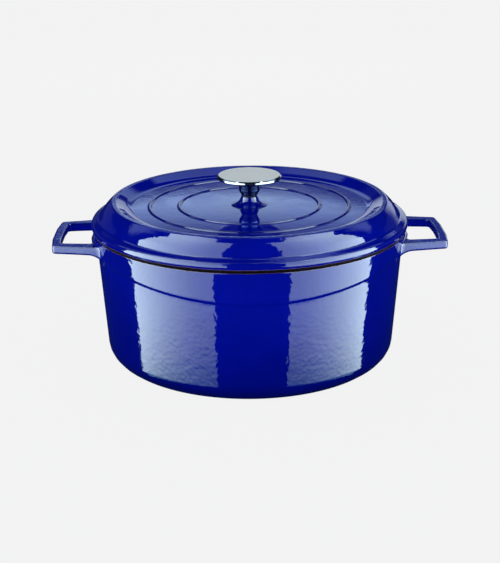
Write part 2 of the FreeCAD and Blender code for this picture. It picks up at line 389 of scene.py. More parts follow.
@dataclass(frozen=True)
class CastingEnamel(Finish):
    """Vitreous enamel fired on cast iron, in three coats on one casting.

    Gloss cobalt glass outside, with soft orange peel and thin and dark over edges; matt black enamel on
    the meeting faces; pale gloss enamel inside.

    Attributes:
        title: the material's name.
        black_from: distance along the profile, in millimetres, where the black coat begins.
        pale_from: where the pale coat begins.
        peel: height of the orange peel in millimetres.
        level_to: the glass has run level, nearly without peel, up to here.
    """

    title: str
    black_from: float
    pale_from: float
    peel: float = 0.08
    level_to: float = -1000.0
    cobalt: str = "#000FA8"
    cobalt_deep: str = "#000B86"
    cobalt_thin: str = "#00075A"
    black: str = "#0E0C0D"
    black_worn: str = "#171316"
    fired: str = "#8A6A70"
    pale: str = "#DCD0B8"
    pale_shade: str = "#CDBE9F"

    def dress(self, tree: Tree, shader: Node) -> None:
        """Lay the three coats along the casting's profile, with an uneven line between them.

        Args:
            tree: the material's node tree.
            shader: its Principled node.
        """
        run = add(tree, "Attribute", attribute_name="run").outputs["Fac"]
        edge = add(tree, "Attribute", attribute_name="edge").outputs["Fac"]
        line = run
        for size, detail, reach in ((6.0, 3.0, 1.2), (1.7, 2.0, 1.8)):
            wander = summed(tree, -0.5, noise(tree, size, detail))
            line = summed(tree, line, wander, reach)
        is_black = ranged(tree, line, (self.black_from - 0.08, self.black_from + 0.08), (0, 1))
        is_pale = ranged(tree, line, (self.pale_from - 0.2, self.pale_from + 0.2), (0, 1))

        cloud = noise(tree, 38.0, 3.0)
        deeper = ranged(tree, cloud, (0.2, 0.8), (0, 0.5))
        blue = blended(tree, deeper, linear(self.cobalt), linear(self.cobalt_deep))
        blue = blended(tree, ranged(tree, edge, (0.1, 1.0), (0, 0.75)), blue, linear(self.cobalt_thin))
        fleck = ranged(tree, noise(tree, 1.1, 1.0), (0.69, 0.78), (0, 0.3))
        blue = blended(tree, fleck, blue, linear(self.cobalt_thin))
        worn = ranged(tree, noise(tree, 3.0, 4.0), (0.5, 0.75), (0, 0.8))
        black = blended(tree, worn, linear(self.black), linear(self.black_worn))
        shade = ranged(tree, cloud, (0.3, 0.7), (0, 1))
        cream = blended(tree, shade, linear(self.pale), linear(self.pale_shade))
        after = ranged(tree, line, (self.black_from + 0.1, self.black_from + 0.35), (0, 1))
        black = blended(tree, after, linear(self.fired), black)
        colour = blended(tree, is_pale, blended(tree, is_black, blue, black), cream)

        haze = ranged(tree, noise(tree, 22.0, 4.0), (0.3, 0.7), (0.035, 0.06))
        gloss = blended(tree, is_black, haze, (0.3, 0.3, 0.3, 1))
        gloss = blended(tree, is_pale, gloss, (0.11, 0.11, 0.11, 1))
        peel = summed(tree, noise(tree, 9.0, 1.0), noise(tree, 3.4, 0.0), 0.7)
        peel = product(tree, peel, ranged(tree, run, (self.level_to - 10.0, self.level_to + 4.0), (0.12, 1.0)))
        bump = add(tree, "Bump", {"Height": peel, "Distance": self.peel * MM})
        shine = blended(tree, is_black, EVEN_GLOSS, (0.12, 0.12, 0.12, 1))
        shine = blended(tree, is_pale, shine, EVEN_GLOSS)
        looks = {"Base Color": colour, "Roughness": gloss, "Normal": bump.outputs[0]}
        feed(tree, shader, {**looks, "Specular IOR Level": shine, "IOR": 1.52})


@dataclass(frozen=True)
class SatinSteel(Finish):
    """Stainless steel turned on a lathe, with a fine satin face and a polished rolled edge.

    The satin face shows faint rings one behind another, and the edge mirrors the room.
    """

    title: str = "satin_stainless_steel"
    face_radius: float = 27.9
    face_height: float = 170.6
    steel: str = "#EDE0D0"
    steel_dull: str = "#DFD3C3"
    edge_steel: str = "#94979A"

    def dress(self, tree: Tree, shader: Node) -> None:
        """Rings 0.45 mm apart, coarser than the real 0.1 mm so that they show, on the face only.

        Args:
            tree: the material's node tree.
            shader: its Principled node.
        """
        place = add(tree, "TexCoord").outputs["Object"]
        apart = add(tree, "SeparateXYZ", {0: place})
        flat = add(tree, "CombineXYZ", {0: apart.outputs[0], 1: apart.outputs[1]})
        radius = add(tree, "VectorMath", {0: flat.outputs[0]}, operation="LENGTH").outputs["Value"]
        inner = ranged(tree, radius, (self.face_radius * MM, (self.face_radius + 0.5) * MM), (1, 0))
        upper = ranged(tree, apart.outputs[2], ((self.face_height - 0.3) * MM, self.face_height * MM), (0, 1))
        face = product(tree, inner, upper)
        spread = add(tree, "CombineXYZ", {0: radius}).outputs[0]
        rings = noise(tree, 0.45, 2.0, spread)
        grain = noise(tree, 0.7, 3.0)
        mottled = summed(tree, rings, grain, 0.6)
        dull = ranged(tree, mottled, (0.5, 1.1), (0, 1))
        bright = blended(tree, dull, linear(self.steel), linear(self.steel_dull))
        tone = blended(tree, face, linear(self.edge_steel), bright)
        satin = ranged(tree, mottled, (0.5, 1.1), (0.36, 0.46))
        rough = blended(tree, face, (0.07, 0.07, 0.07, 1), satin)
        bump = add(tree, "Bump", {"Height": product(tree, rings, face), "Distance": 0.006 * MM})
        looks = {"Base Color": tone, "Roughness": rough, "Normal": bump.outputs[0]}
        feed(tree, shader, {**looks, "Metallic": 1.0})


@dataclass(frozen=True)
class PlainSteel(Finish):
    """Stainless steel of a turned or stamped fitting: how bright and how rough, with fine scratches."""

    title: str
    steel: str = "#C4C4C2"
    steel_dark: str = "#9A9A98"
    rough: tuple[float, float] = (0.18, 0.3)
    scratch: float = 2.5

    def dress(self, tree: Tree, shader: Node) -> None:
        """Cloudy tone and roughness with a slight wave in the surface.

        Args:
            tree: the material's node tree.
            shader: its Principled node.
        """
        cloud = noise(tree, self.scratch, 4.0)
        darker = ranged(tree, cloud, (0.35, 0.7), (0, 1))
        tone = blended(tree, darker, linear(self.steel), linear(self.steel_dark))
        rough = ranged(tree, cloud, (0.3, 0.7), self.rough)
        bump = add(tree, "Bump", {"Height": noise(tree, 1.2, 2.0), "Distance": 0.008 * MM})
        looks = {"Base Color": tone, "Roughness": rough, "Normal": bump.outputs[0]}
        feed(tree, shader, {**looks, "Metallic": 1.0})


@dataclass(frozen=True)
class Silicone(Finish):
    """Moulded black silicone: a soft dark rubber with a bloom of dust in its low grain."""

    title: str = "black_silicone"
    dark: str = "#17171A"
    bloom: str = "#2C2C30"

    def dress(self, tree: Tree, shader: Node) -> None:
        """Fine moulded grain, half a millimetre across.

        Args:
            tree: the material's node tree.
            shader: its Principled node.
        """
        grain = noise(tree, 0.5, 3.0)
        dusty = ranged(tree, grain, (0.4, 0.7), (0, 1))
        tone = blended(tree, dusty, linear(self.dark), linear(self.bloom))
        rough = ranged(tree, grain, (0.3, 0.7), (0.45, 0.62))
        bump = add(tree, "Bump", {"Height": grain, "Distance": 0.02 * MM})
        looks = {"Base Color": tone, "Roughness": rough, "Normal": bump.outputs[0]}
        feed(tree, shader, {**looks, "IOR": 1.41})


# ---- pot


@dataclass
class LoopHandle:
    """One flat loop handle, cast on the wall at the +X side."""

    top_z: float = 117.2
    thick: float = 8.0
    corner_x: float = 179.28
    crown: float = 4.0
    half_width: float = 39.4
    corner_r: float = 3.2
    corner_back: float = 0.9
    slope: float = 0.188
    bar: float = 7.3
    hole_half_outer: float = 30.6
    hole_half_inner: float = 33.2
    hole_wall_r: float = 146.0
    hole_outer_r: float = 3.5
    hole_inner_r: float = 4.0
    hole_lean: float = 10.0
    crown_r: float = 320.0
    edge_r: float = 1.9
    wall_r: float = 143.1
    flare_r: float = 9.0
    below_r: float = 10.0
    above_r: float = 3.0
    sunk: float = 1.4
    along: int = 48

    def outer_line(self) -> list[Array]:
        """Plan of the outer edge for y of 0 and more, in three stretches.

        They are the outer bar to the middle of its corner, the side with its flare to the wall, and the
        line inside the wall back to the middle. The flare is the arc of radius f that touches the side
        and the wall's circle: its centre lies f off the side and R + f from the axis.

        Returns:
            Three arrays (n, 2).
        """
        tilt = math.hypot(1, self.slope)
        normal = np.array([self.slope, 1.0]) / tilt
        heading = np.array([-1.0, self.slope]) / tilt
        start = np.array([self.corner_x, self.half_width])
        lifted = start + normal * self.flare_r
        reach = self.wall_r + self.flare_r
        b = lifted @ heading
        along = -b - math.sqrt(b * b - lifted @ lifted + reach * reach)
        centre = lifted + heading * along
        meets_wall = centre * self.wall_r / reach
        leaves = centre - normal * self.flare_r
        a0 = math.atan2(*(leaves - centre)[::-1])
        a1 = math.atan2(*(meets_wall - centre)[::-1])
        turn = np.linspace(a0, a1, 30)
        flare = centre + self.flare_r * np.stack([np.cos(turn), np.sin(turn)], 1)
        apex = (self.corner_x + self.crown, 0.0, self.crown_r)
        corner = (self.corner_x, self.half_width, self.corner_r)
        bar, _ = outline([(apex[0], -1.0, 0), apex, corner, (*leaves, 0)], 1.0)
        bar = bar[bar[:, 1] >= 0]
        split = nearest(bar, start - self.corner_back)
        inside = np.linspace(math.atan2(meets_wall[1], meets_wall[0]), 0, 40)
        sunk = self.wall_r - self.sunk * smooth(np.linspace(0, 6, 40))
        buried = np.stack([sunk * np.cos(inside), sunk * np.sin(inside)], 1)
        return [bar[: split + 1], np.vstack([bar[split:], flare]), buried]

    def hole_line(self) -> list[Array]:
        """Plan of the finger hole for y of 0 and more, in the same three stretches.

        Returns:
            Three arrays (n, 2).
        """
        outer_x = self.corner_x - self.bar
        lean = math.radians(self.hole_lean)
        wall_x = self.hole_wall_r / math.cos(lean)
        inner_x = wall_x - self.hole_half_inner * math.tan(lean)
        corners = [
            (outer_x + self.crown * 0.6, -1.0, 0), (outer_x + self.crown * 0.6, 0.0, self.crown_r),
            (outer_x, self.hole_half_outer, self.hole_outer_r),
            (inner_x, self.hole_half_inner, self.hole_inner_r), (wall_x, 0.0, self.hole_wall_r),
            (wall_x, -1.0, 0),
        ]
        line, _ = outline(corners, 1.0)
        line = line[line[:, 1] >= 0]
        first, second = (nearest(line, corner[:2]) for corner in corners[2:4])
        return [line[: first + 1], line[first : second + 1], line[second:]]

    def looped(self, stretches: list[Array]) -> Array:
        """Take half a plan line in even steps, and mirror it into the whole loop.

        Args:
            stretches: the half line's three stretches, which get the same number of steps each.

        Returns:
            Array (n, 2).
        """
        parts = []
        for stretch in stretches:
            way = travelled(stretch)
            even = np.linspace(0, way[-1], self.along, endpoint=False)
            parts.append(np.stack([np.interp(even, way, stretch[:, k]) for k in (0, 1)], 1))
        half = np.vstack(parts + [stretches[-1][-1:]])
        half[0, 1] = half[-1, 1] = 0.0
        return np.vstack([half, half[-2:0:-1] * [1, -1]])

    def section(self) -> Array:
        """Rounded rectangle that serves every width and height of the bar.

        Returns:
            Array (n, 4): share of the width, of the rounding across, of the height, of the rounding up.
        """
        corners = np.array([(1, 1), (0, 1), (0, 0), (1, 0)], float)
        steps, along_face, up_edge = 5, 18, 5
        rows = []
        for i, corner in enumerate(corners):
            turn = math.pi / 2 * (i + np.linspace(0, 1, steps))
            rounding = np.stack([np.cos(turn), np.sin(turn)], 1) - (2 * corner - 1)
            rows.append(np.column_stack([np.broadcast_to(corner, (steps, 2)), rounding]))
            t = np.linspace(0, 1, (up_edge if i % 2 else along_face) + 2)[1:-1, None]
            step = corners[(i + 1) % 4] - corner
            rows.append(np.column_stack([corner + step * t, (1 - 2 * t) * step]))
        return np.vstack(rows)[:, [0, 2, 1, 3]]

    def shell(self, wall: "PotBody") -> Shell:
        """Carry the rounded section round the hole, and let its foot spread on the wall.

        At a plan distance d from the wall the underside hangs lower by r - sqrt(r^2 - (r - d)^2), and the
        top rises by a smaller arc. Within 20 mm of the wall each point follows the wall's own shape.

        Args:
            wall: the pot body.

        Returns:
            The handle's closed surface.
        """
        hole, outer = self.looped(self.hole_line()), self.looped(self.outer_line())
        a, b, c, d = self.section().T
        width = np.linalg.norm(outer - hole, axis=1)[:, None]
        share = (width * a + self.edge_r * b) / width
        plan = hole[:, None, :] + (outer - hole)[:, None, :] * share[..., None]
        radial = np.linalg.norm(plan, axis=-1)
        off = radial - self.wall_r
        low = self.top_z - self.thick - self.fillet(off, self.below_r)
        high = self.top_z + self.fillet(off, self.above_r)
        z = low + (high - low) * c + self.edge_r * d
        turn = np.arctan2(plan[..., 1], plan[..., 0])
        near = 1 - smooth(off / 20)
        radial = radial + (wall.radius(turn, z) - self.wall_r) * near
        corner = (np.hypot(b, d) > 0) & ((a == 0) | (a == 1)) & ((c == 0) | (c == 1))
        return Shell(swept(radial, turn, z), True, corner * 0.5 * smooth(off / 4))

    @staticmethod
    def fillet(off: Array, radius: float) -> Array:
        """Drop of a quarter arc of a radius at a distance from the wall."""
        return radius - np.sqrt(radius**2 - (radius - np.clip(off, 0, radius)) ** 2)


@dataclass
class PotBody:
    """Tapered wall, flat base, bare rim and inside of the pot."""

    height: float = 125.6
    wall_base_r: float = 133.6
    wall_top_r: float = 142.8
    wall: float = 3.7
    base: float = 4.8
    foot_recess: float = 0.8
    foot_recess_r: float = 95.0
    base_corner_r: float = 17.5
    inner_corner_r: float = 16.0
    rim_height: float = 3.0
    rim_step: float = 1.6
    band_proud: float = 1.2
    crease_front: float = 93.8
    crease_rise: float = 14.8
    crease_width: float = 3.3
    columns: int = 288

    def plain_r(self, z: Array | float) -> Array | float:
        """Radius of the plain taper at a height."""
        return self.wall_base_r + (self.wall_top_r - self.wall_base_r) * z / self.height

    def crease_z(self, turn: Array) -> Array:
        """Height of the crease: it rises towards the handles with the cosine of the turn to the power 1.7."""
        return self.crease_front + self.crease_rise * abs(np.cos(turn)) ** 1.7

    def crease_span(self, turn: Array) -> Array:
        """Height over which the step at the crease comes out, wider near the handles."""
        return self.crease_width * (1 + 0.6 * np.cos(turn) ** 4)

    def radius(self, turn: Array, z: Array) -> Array:
        """Outer radius at an angle and a height, with the band that stands proud above the crease."""
        rise = (z - self.crease_z(turn)) / self.crease_span(turn) + 0.5
        return self.plain_r(z) + self.band_proud * smooth(rise)

    def shell(self) -> tuple[Shell, dict[str, float]]:
        """The whole skin from the middle of the base, up the outside, over the rim and down inside.

        The rows of the outside follow the crease, and bunch up across its step.

        Returns:
            The closed surface, and the distances along it where the black and the pale coats begin.
        """
        turn = np.linspace(0, 2 * np.pi, self.columns, endpoint=False)
        low_z = self.base_corner_r + 3.0
        blue_top = self.height - self.rim_height
        top_z = blue_top - 0.7
        foot, foot_bend = outline(
            [
                (0, self.foot_recess, 0), (self.foot_recess_r - 1.6, self.foot_recess, 0.6),
                (self.foot_recess_r, 0, 0.6), (self.plain_r(0), 0, self.base_corner_r),
                (self.plain_r(low_z), low_z, 0),
            ],
            5.0,
        )
        band_r = self.plain_r(blue_top) + self.band_proud
        inner_top = self.plain_r(self.height) - self.wall
        over, over_bend = outline(
            [
                (self.plain_r(top_z) + self.band_proud, top_z, 0), (band_r, blue_top, 0.7),
                (band_r - 0.7, blue_top + 0.5, 0.4),
                (self.plain_r(self.height) - self.rim_step, self.height, 0.8),
                (inner_top + 0.2, self.height, 0.8), (inner_top - 0.3, self.height - 2.4, 1.5),
                (self.plain_r(self.base) - self.wall, self.base, self.inner_corner_r), (0, self.base, 0),
            ],
            5.0,
        )
        crease, span = self.crease_z(turn), self.crease_span(turn)
        heights = []
        for start, end, count in (
            (low_z, crease - span / 2, 26),
            (crease - span / 2, crease + span / 2, 12),
            (crease + span / 2, top_z, 12),
        ):
            share = np.linspace(0, 1, count + 1)[1:, None]
            heights.append(start + (end - start) * share)
        wall_z = np.vstack(heights)[:-1]
        wall_r = self.radius(turn, wall_z)
        spread = np.ones((1, self.columns))
        radial = np.vstack([foot[:, :1] * spread, wall_r, over[:, :1] * spread])
        z = np.vstack([foot[:, 1:] * spread, wall_z, over[:, 1:] * spread])
        edge = np.concatenate([foot_bend * 0.4, np.zeros(len(wall_z)), over_bend * 0.6])
        run = travelled(np.stack([radial[:, 0], z[:, 0]], 1))
        first_over = len(foot) + len(wall_z)
        marks = {
            "black": run[first_over + int(np.argmax(over[:, 1] > blue_top + 0.1))],
            "pale": run[first_over + int(np.argmax(over[:, 0] < inner_top - 0.2))],
        }
        return Shell(swept(radial, turn, z), False, edge, run), marks


@dataclass
class Pot:
    """The pot casting: body and two loop handles in one piece."""

    body: PotBody = field(default_factory=PotBody)
    handle: LoopHandle = field(default_factory=LoopHandle)

    def build(self) -> None:
        """Make the casting and dress it in enamel."""
        shell, marks = self.body.shell()
        right = self.handle.shell(self.body)
        left = Shell(right.points * [-1, -1, 1], True, right.edge)
        made = piece("pot_casting", [shell, right, left], "pot_body", "pot_enamel", "pot")
        CastingEnamel("vitreous_enamel_on_pot", marks["black"], marks["pale"]).put_on(made)


# ---- lid


@dataclass
class Lid:
    """The lid casting, with its boss, tray, beads, rolled lip and locating ring."""

    pot_height: float = 125.6
    gap: float = 0.3
    lip_r: float = 146.6
    lip_z: float = 128.9
    lip_drop: float = 1.3
    lip_inner: float = 142.9
    rim_r: float = 127.4
    rim_z: float = 148.9
    tray_z: float = 142.4
    tray_r: float = 112.0
    thick: float = 4.0
    bead_radii: tuple[float, ...] = (64.8, 92.0)
    drip_radii: tuple[float, ...] = (98.0, 58.0)
    bead_half: float = 1.9
    bead_height: float = 1.2
    ring_outer: float = 137.9
    ring_inner: float = 134.2
    ring_depth: float = 5.0
    boss_z: float = 151.4
    boss_r: float = 7.4
    boss_waist: float = 9.3
    boss_foot: float = 16.1
    hole_r: float = 3.4
    pad_r: float = 12.5
    pad_depth: float = 0.6
    black_lift: float = 0.6
    columns: int = 288

    def beads(self, radii: tuple[float, ...], level: float, height: float) -> list[Corner]:
        """Corners of half-round rings on a face, taken the way that the profile runs.

        Args:
            radii: the rings' radii, in the order of the profile.
            level: height of the face.
            height: how far the rings stand up, or down if negative; the profile then runs inwards.

        Returns:
            Four corners for each ring.
        """
        half, peak = math.copysign(self.bead_half, height), level + height
        ring = ((-1, level, 0.8), (-0.45, peak, 0.7), (0.45, peak, 0.7), (1, level, 0.8))
        return [(radius + half * side, z, rounding) for radius in radii for side, z, rounding in ring]

    def corners(self) -> tuple[list[Corner], int, int]:
        """Profile from the boss out to the lip and back under.

        Returns:
            The corners, and the numbers of the two at which the blue and the black coats end.
        """
        seat, under = self.pot_height + self.gap, self.tray_z - self.thick
        top = [
            (self.hole_r, self.boss_z, 0.2), (self.boss_r, self.boss_z, 0.8),
            (self.boss_waist, self.tray_z + 3.2, 8.0), (self.boss_foot, self.tray_z + 0.5, 0.3),
            (self.boss_foot + 0.5, self.tray_z, 0.2),
            *self.beads(self.bead_radii, self.tray_z, self.bead_height),
            (self.tray_r, self.tray_z, 14.0), (self.rim_r - 4.6, self.rim_z, 2.4),
            (self.rim_r - 0.2, self.rim_z, 2.6), (self.rim_r + 6.4, self.rim_z - 6.2, 30.0),
            (self.lip_r - 7.4, self.lip_z + 5.4, 3.0), (self.lip_r - 1.6, self.lip_z + 3.2, 2.6),
            (self.lip_r, self.lip_z, 2.4), (self.lip_r - 1.4, seat - self.lip_drop, 1.4),
            (self.lip_inner + 0.4, seat - self.lip_drop, 0.5), (self.lip_inner, seat, 0.3),
        ]
        below = [
            (self.ring_outer, seat, 0.6), (self.ring_outer, seat - self.ring_depth, 1.2),
            (self.ring_inner, seat - self.ring_depth, 1.2), (self.ring_inner - 0.6, seat + 6.0, 6.0),
            (self.rim_r - 2.8, self.rim_z - 5.2, 4.0), (self.rim_r - 6.4, self.rim_z - 5.2, 4.0),
            (self.tray_r + 2.0, under, 14.0),
            *self.beads(self.drip_radii, under, -self.bead_height),
            (self.pad_r + self.pad_depth, under, 0.3), (self.pad_r, under - self.pad_depth, 0.3),
            (self.hole_r, under - self.pad_depth, 0.2),
        ]
        return top + below, len(top) - 1, len(top)

    def build(self) -> None:
        """Turn the profile round the knob's axis and dress it in enamel."""
        corners, lip, ring = self.corners()
        shell = turned(corners, self.columns, 4.0, ring=True)
        flat = shell.points[:, 0, ::2]
        rim, black, pale = (
            shell.run[nearest(flat, (across, up))]
            for across, up in (
                (self.rim_r, self.rim_z),
                (corners[lip][0] + 3.1, corners[lip][1] + 0.6),
                (corners[ring][0], corners[ring][1] - 1.0),
            )
        )
        made = piece("lid_casting", [shell], "lid_body", "lid_enamel", "lid")
        CastingEnamel("vitreous_enamel_on_lid", black - self.black_lift, pale, 0.06, rim).put_on(made)


# ---- knob


@dataclass
class Knob:
    """Steel disc on a polished collar, with the gasket and the fastening that holds it to the lid."""

    boss_z: float = 151.4
    gasket: float = 0.6
    gasket_r: float = 6.9
    collar_z: float = 165.4
    disc_z: float = 171.1
    disc_r: float = 29.9
    rim: float = 2.9
    spigot_r: float = 6.0
    spigot: float = 3.0
    screw_r: float = 3.0
    screw_length: float = 25.0
    pitch: float = 1.0
    head_r: float = 5.8
    head_height: float = 3.4
    seat_z: float = 137.8
    flat_r: float = 8.0
    flat: float = 1.2
    lock_r: float = 5.2
    lock: float = 1.5
    lock_gap: float = 0.26
    clear: float = 0.2
    recess: tuple[float, float, float] = (1.1, 6.2, 1.9)

    def ring(self, inner: float, outer: float, low: float, thick: float, columns: int = 96) -> Shell:
        """Flat ring with rounded edges.

        Args:
            inner: radius of its bore.
            outer: radius outside.
            low: height of its lower face.
            thick: its thickness.
            columns: steps round the axis.

        Returns:
            The closed surface.
        """
        edge, high = min(0.2, thick / 4), low + thick
        corners = [(inner, low, edge), (outer, low, edge), (outer, high, edge), (inner, high, edge)]
        return turned(corners, columns, 1.5, ring=True)

    def disc(self) -> None:
        """Flat-topped disc with a rolled edge, a bowl-shaped underside and a blind socket."""
        socket = self.collar_z + self.spigot
        corners = [
            (0, socket, 0), (self.spigot_r, socket, 0.2), (self.spigot_r, self.collar_z, 0.2),
            (14.0, self.collar_z, 20.0), (26.5, self.collar_z + 1.3, 5.0),
            (self.disc_r, self.disc_z - self.rim, 0.9), (self.disc_r - 0.25, self.disc_z - 1.1, 0.3),
            (self.disc_r - 1.6, self.disc_z, 0.25), (0, self.disc_z, 0),
        ]
        made = piece("knob_top", [turned(corners, 192, 2.0)], "lid_body", "knob_steel", "knob_disc")
        SatinSteel(face_height=self.disc_z - 0.15).put_on(made)

    def collar(self) -> None:
        """Tulip-shaped collar, widening upwards, with its spigot and its blind bore.

        Its dark bluish colour is a painted reflection: the steel's own colour stands in for the blue lid, in
        the disc's shade, that the collar mirrors.
        """
        low, bore = self.boss_z + self.gasket, self.collar_z - 3.2
        corners = [
            (0, bore, 0), (self.screw_r, bore, 0.2), (self.screw_r, low, 0.2), (7.2, low, 0.4),
            (9.7, low + 4.6, 4.0), (9.5, self.collar_z - 3.6, 3.0), (12.4, self.collar_z, 0.2),
            (self.spigot_r, self.collar_z, 0.2), (self.spigot_r, self.collar_z + self.spigot, 0.4),
            (0, self.collar_z + self.spigot, 0),
        ]
        made = piece("knob_neck", [turned(corners, 144, 1.0)], "lid_body", "polished_steel", "knob_collar")
        # painted reflection and shade: the dark blue steel colour stands in for the shaded blue lid that the
        # collar mirrors
        PlainSteel("polished_steel_painted_blue_reflection", "#36466E", "#2C3A60", (0.10, 0.14), 6.0).put_on(made)

    def washers(self) -> None:
        """Gasket, flat washer and cut spring washer."""
        bore = self.screw_r + self.clear
        gasket = self.ring(bore, self.gasket_r, self.boss_z, self.gasket)
        plain = self.ring(bore, self.flat_r, self.seat_z - self.flat, self.flat)
        stamped = PlainSteel("stamped_stainless_steel")
        sprung = PlainSteel("spring_stainless_steel", "#A9A9A7", "#82827F", (0.25, 0.4), 1.5)
        for name, shell, slot, node, finish in (
            ("boss_gasket", gasket, "gasket_silicone", "knob_gasket", Silicone()),
            ("plain_washer", plain, "washer_steel", "flat_washer", stamped),
            ("spring_washer", self.split_ring(), "spring_steel", "lock_washer", sprung),
        ):
            finish.put_on(piece(name, [shell], "lid_body", slot, node))

    def split_ring(self) -> Shell:
        """Spring washer: its section swept through most of a turn, and drawn in to close both ends.

        Returns:
            The closed surface.
        """
        low = self.seat_z - self.flat - self.lock
        section, bend = outline(
            [
                (self.screw_r + 0.15, low, 0.25), (self.lock_r, low, 0.25),
                (self.lock_r, low + self.lock, 0.25), (self.screw_r + 0.15, low + self.lock, 0.25),
            ],
            0.6, ring=True,
        )
        middle = section.mean(axis=0)
        first, last = self.lock_gap / 2, 2 * np.pi - self.lock_gap / 2
        turn = np.concatenate([[first] * 2, np.linspace(first, last, 90), [last] * 2])
        scale = np.concatenate([[0.0, 0.93], np.ones(90), [0.93, 0.0]])
        shaped = middle + (section - middle) * scale[:, None, None]
        return Shell(swept(shaped[..., 0], turn[:, None], shaped[..., 1]), False, bend[None, :])

    def thread(self, low: float, high: float) -> Shell:
        """Screw thread: the radius follows a triangle wave of height less turn, one ridge per pitch.

        Args:
            low: height where the thread starts.
            high: height of the tip.

        Returns:
            The shank's closed surface, tapered over the last pitch.
        """
        z = np.linspace(low, high, int((high - low) / self.pitch * 10) + 1)[:, None]
        turn = np.linspace(0, 2 * np.pi, 60, endpoint=False)
        phase = (z / self.pitch - turn / (2 * np.pi)) % 1.0
        depth = 0.61 * self.pitch
        ridge = np.clip(1.15 - 2.3 * abs(phase - 0.5), 0, 1)
        radial = self.screw_r - 0.02 - depth * (1 - ridge)
        radial = radial - 0.8 * smooth((z - high + self.pitch) / self.pitch)
        radial = np.vstack([np.zeros((1, 60)), radial, np.zeros((1, 60))])
        return Shell(swept(radial, turn, np.vstack([z[:1], z, z[-1:]])))

    def screw(self) -> None:
        """Pan-head screw with a cross recess, head down, and a threaded shank up into the collar."""
        bearing = self.seat_z - self.flat - self.lock
        bottom = bearing - self.head_height
        head = turned(
            [
                (0, bottom, 0), (self.head_r, bottom, 2.4), (self.head_r, bearing, 0.3),
                (self.screw_r - 0.7, bearing, 0.2), (self.screw_r - 0.7, bearing + 1.2, 0.2),
                (0, bearing + 1.2, 0),
            ],
            72, 0.8,
        )
        made = piece("screw_head", [head], "lid_body", "fastener_steel", "knob_screw")
        self.cut_cross(made, bottom)
        thread = self.thread(bearing + 0.4, bearing + self.screw_length)
        shank = piece("screw_shank", [thread], "lid_body", "fastener_steel", "knob_screw")
        PlainSteel("turned_stainless_steel", "#C8C8C5", "#A5A5A2", (0.16, 0.28), 1.8).put_on(made, shank)

    def cut_cross(self, head: Object, bottom: float) -> None:
        """Take a cross-shaped driver recess out of the head, tapering as it goes in.

        Args:
            head: the screw's head.
            bottom: height of the head's face.
        """
        width, length, depth = self.recess
        for name, across, along in (("recess_a", length, width), ("recess_b", width, length)):
            square = np.array([[-1, -1], [1, -1], [1, 1], [-1, 1]]) / 2
            rings = [
                np.c_[square * [across * k, along * k], np.full(4, bottom + rise)]
                for k, rise in ((1.05, -0.5), (0.8, depth))
            ]
            mesh = bpy.data.meshes.new(name)
            walls = [(i, (i + 1) % 4, 4 + (i + 1) % 4, 4 + i) for i in range(4)]
            mesh.from_pydata(np.vstack(rings) * MM, [], [(3, 2, 1, 0), (4, 5, 6, 7), *walls])
            cutter = placed(name, mesh)
            cut = head.modifiers.new(name, "BOOLEAN")
            cut.operation, cut.solver, cut.object = "DIFFERENCE", "EXACT", cutter
            bpy.context.view_layer.update()
            whole = bpy.data.meshes.new_from_object(head.evaluated_get(bpy.context.evaluated_depsgraph_get()))
            head.modifiers.clear()
            head.data = whole
            bpy.data.objects.remove(cutter)
        head.data.set_sharp_from_angle(angle=math.radians(35))

    def build(self) -> None:
        """Make every piece of the knob and its fastening."""
        self.disc()
        self.collar()
        self.washers()
        self.screw()


# ---- studio


class Sees(Enum):
    """Which rays find a stage piece: mirrored ones only, or the camera's and the diffuse ones."""

    REFLECTIONS = "reflections"
    CAMERA = "camera"


def stage_mesh(name: str, points: Array, material: bpy.types.Material, sees: Sees) -> Object:
    """An open sheet of the stage from a grid of points in metres.

    Args:
        name: the object's name.
        points: array (rows, columns, 3).
        material: what it is made of.
        sees: the rays that find it.

    Returns:
        The object.
    """
    rows, columns = points.shape[:2]
    index = np.arange(rows * columns).reshape(rows, columns)
    quads = np.stack([index[:-1, :-1], index[:-1, 1:], index[1:, 1:], index[1:, :-1]], -1).reshape(-1, 4)
    mesh = bpy.data.meshes.new(name)
    mesh.from_pydata(points.reshape(-1, 3), [], quads)
    uv = mesh.uv_layers.new(name="UVMap")
    place = np.stack(np.meshgrid(np.linspace(0, 1, rows), np.linspace(0, 1, columns), indexing="ij"), -1)
    uv.data.foreach_set("uv", place.reshape(-1, 2)[quads.ravel()].ravel().astype(np.float32))
    mesh.materials.append(material)
    obj = placed(name, mesh)
    mirrored = sees is Sees.REFLECTIONS
    obj.visible_camera = not mirrored
    obj.visible_glossy = mirrored
    obj.visible_diffuse = not mirrored
    obj.visible_transmission = obj.visible_shadow = False
    return obj


